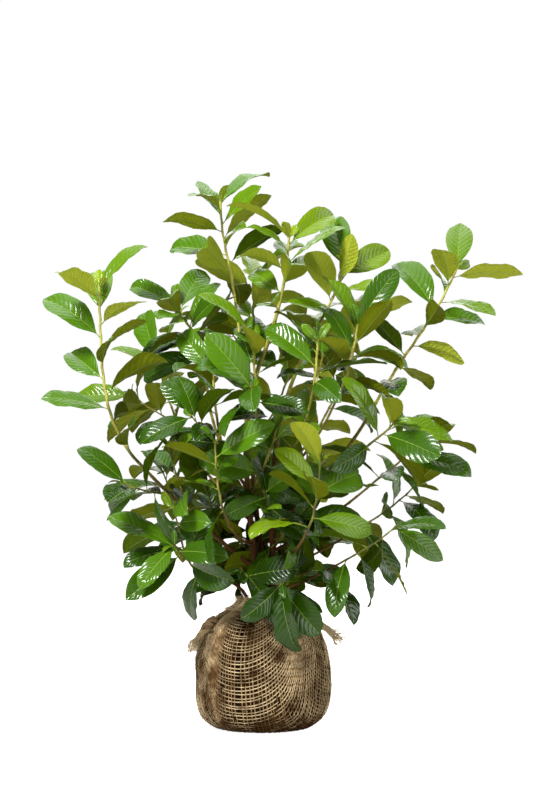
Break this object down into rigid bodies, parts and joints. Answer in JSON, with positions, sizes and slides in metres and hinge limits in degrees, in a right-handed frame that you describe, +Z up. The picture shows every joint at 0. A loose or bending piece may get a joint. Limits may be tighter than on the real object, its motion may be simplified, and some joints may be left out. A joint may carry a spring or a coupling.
{
  "type": "cherry laurel shrub with root ball",
  "caption": "Young broad-leaved evergreen shrub, several upright stems with spiral leaves, standing on a hessian-wrapped root ball.",
  "frame": {"origin": "centre of the root ball's flat underside", "axes": "+Z up the plant, -Y its front, +X the right as seen from the front"},
  "size_m": [0.9643, 0.754, 1.1206],
  "materials": {
    "earth": "damp packed loam showing between the threads of its cloth",
    "hessian": "coarse open-weave jute cloth",
    "bark": "smooth young bark, red-brown at the base and green above",
    "foliage": "glossy leathery leaves, paler and olive underneath"
  },
  "bodies": {
    "root": {"root_ball": "earth", "neck_collar": "hessian", "knot_left": "hessian", "knot_right": "hessian", "stem_left": "bark", "stem_right": "bark", "stem_back": "bark", "stem_low_left": "bark", "bough_far_left": "bark", "bough_mid_left": "bark", "bough_left_upper": "bark", "bough_top_left": "bark", "bough_front_up": "bark", "bough_front_left": "bark", "bough_right_top": "bark", "bough_right_upper": "bark", "bough_right_mid_upper": "bark", "bough_right_mid": "bark", "bough_right_low": "bark", "bough_right_lowest": "bark", "bough_front_right": "bark", "bough_front_bright": "bark", "bough_back_left": "bark", "bough_back_right": "bark", "bough_back_low": "bark", "bough_back_low_left": "bark", "leaves_far_left": "foliage", "leaves_left_side": "foliage", "leaves_left_upright": "foliage", "leaves_left_inner": "foliage", "leaves_low_left": "foliage", "leaves_mid_left": "foliage", "leaves_left_upper": "foliage", "leaves_top_left": "foliage", "leaves_top_centre": "foliage", "leaves_front_up": "foliage", "leaves_front_left": "foliage", "leaves_top_right": "foliage", "leaves_right_top": "foliage", "leaves_right_upper": "foliage", "leaves_right_mid_upper": "foliage", "leaves_right_mid": "foliage", "leaves_right_low": "foliage", "leaves_right_lowest": "foliage", "leaves_front_right": "foliage", "leaves_front_bright": "foliage", "leaves_centre": "foliage", "leaves_centre_right": "foliage", "leaves_back_top": "foliage", "leaves_back_left": "foliage", "leaves_back_right": "foliage", "leaves_back_low": "foliage", "leaves_back_low_left": "foliage", "leaves_inner_low": "foliage", "leaves_inner_mid": "foliage", "leaves_foot_left": "foliage", "leaves_foot_front": "foliage", "leaves_foot_right": "foliage"}
  },
  "joints": []
}
